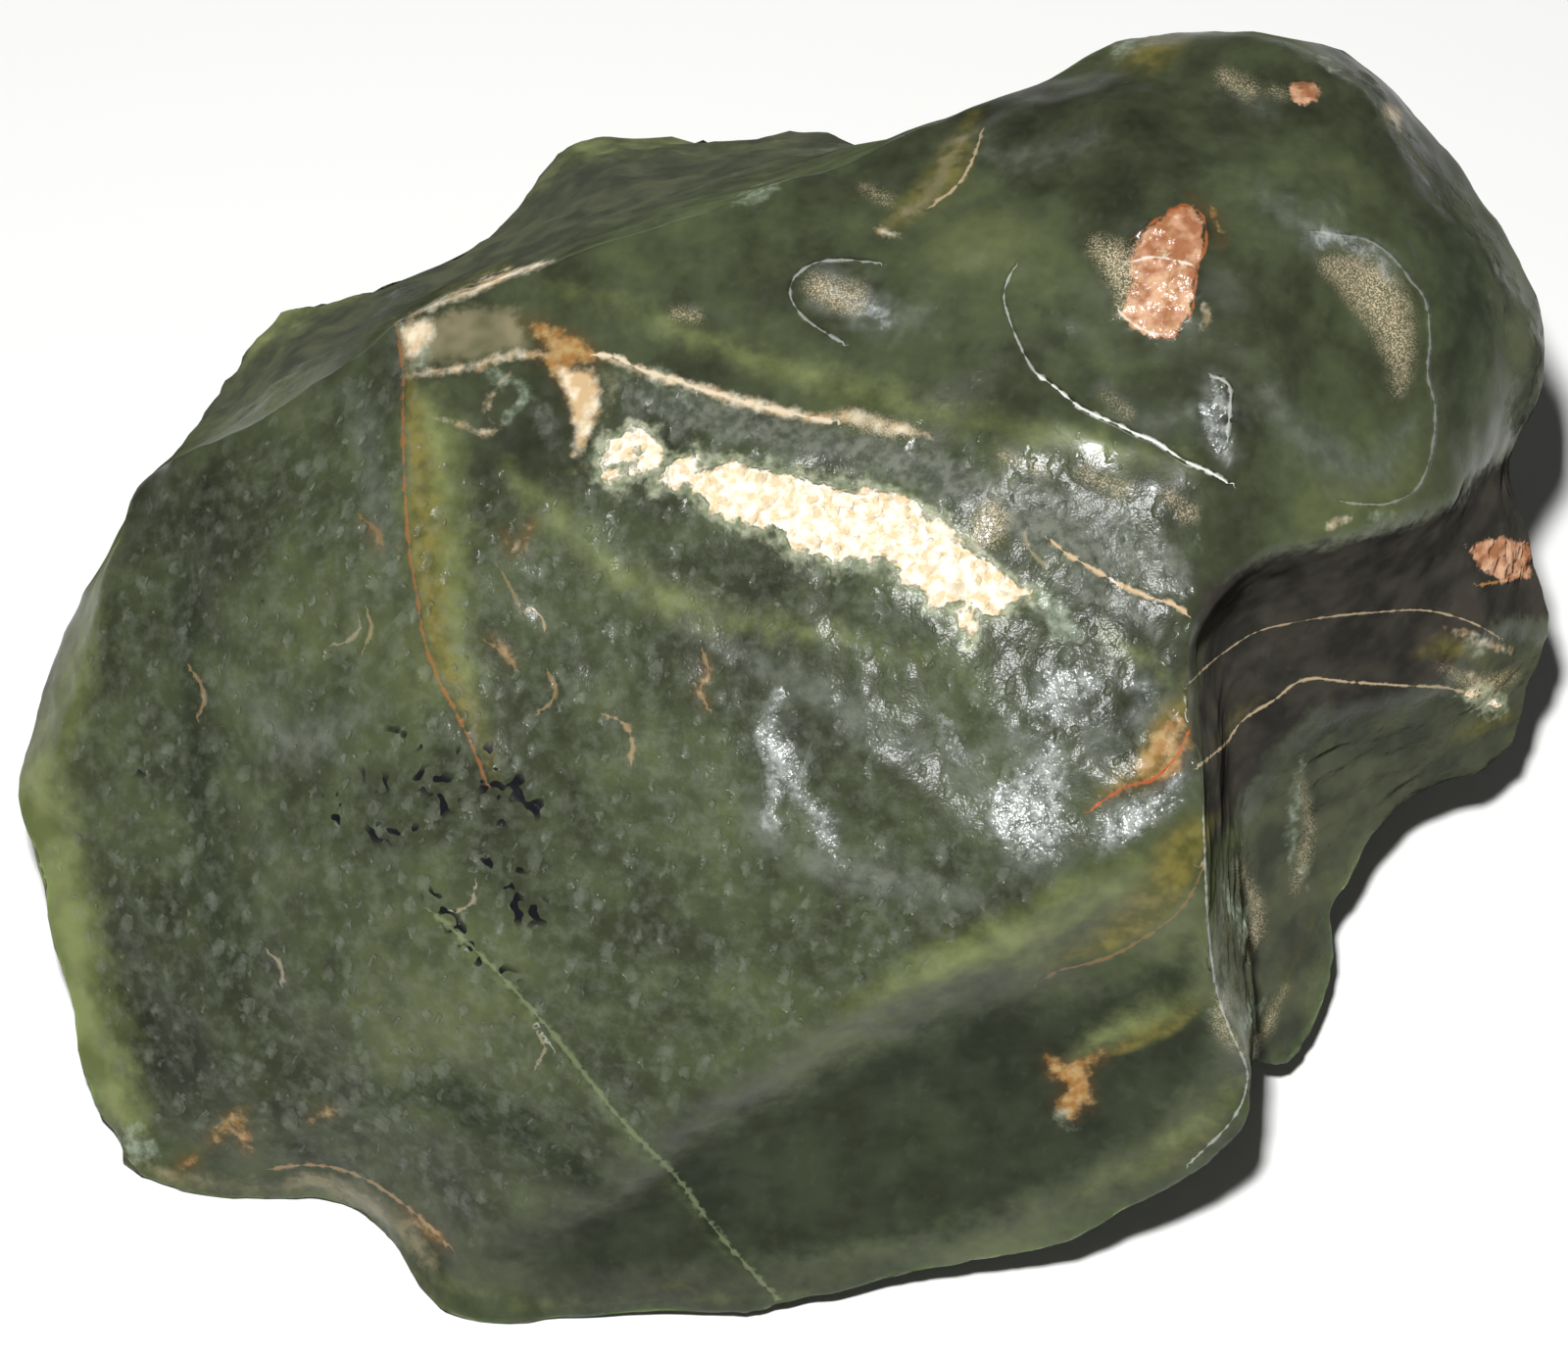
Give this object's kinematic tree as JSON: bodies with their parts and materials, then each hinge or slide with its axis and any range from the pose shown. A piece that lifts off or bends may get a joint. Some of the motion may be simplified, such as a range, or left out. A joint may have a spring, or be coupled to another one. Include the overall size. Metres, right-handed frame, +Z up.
{
  "type": "raw jade boulder",
  "caption": "Raw lump of green nephrite jade with broken, river-worn facets, shell-shaped hollows and a small flat underside to rest on.",
  "frame": {"origin": "centre of the footprint, on the surface that the stone rests on", "axes": "+X along the stone's length towards its rounded head, +Y away from the broad worn face, +Z up"},
  "size_m": [0.2004, 0.1595, 0.0995],
  "materials": {
    "jade": "waxy, wet-looking worn nephrite: dark olive green, light shining through at thin rims, cream chalky crust in one crack, ochre and orange stains"
  },
  "bodies": {
    "root": {"boulder": "jade"}
  },
  "joints": []
}
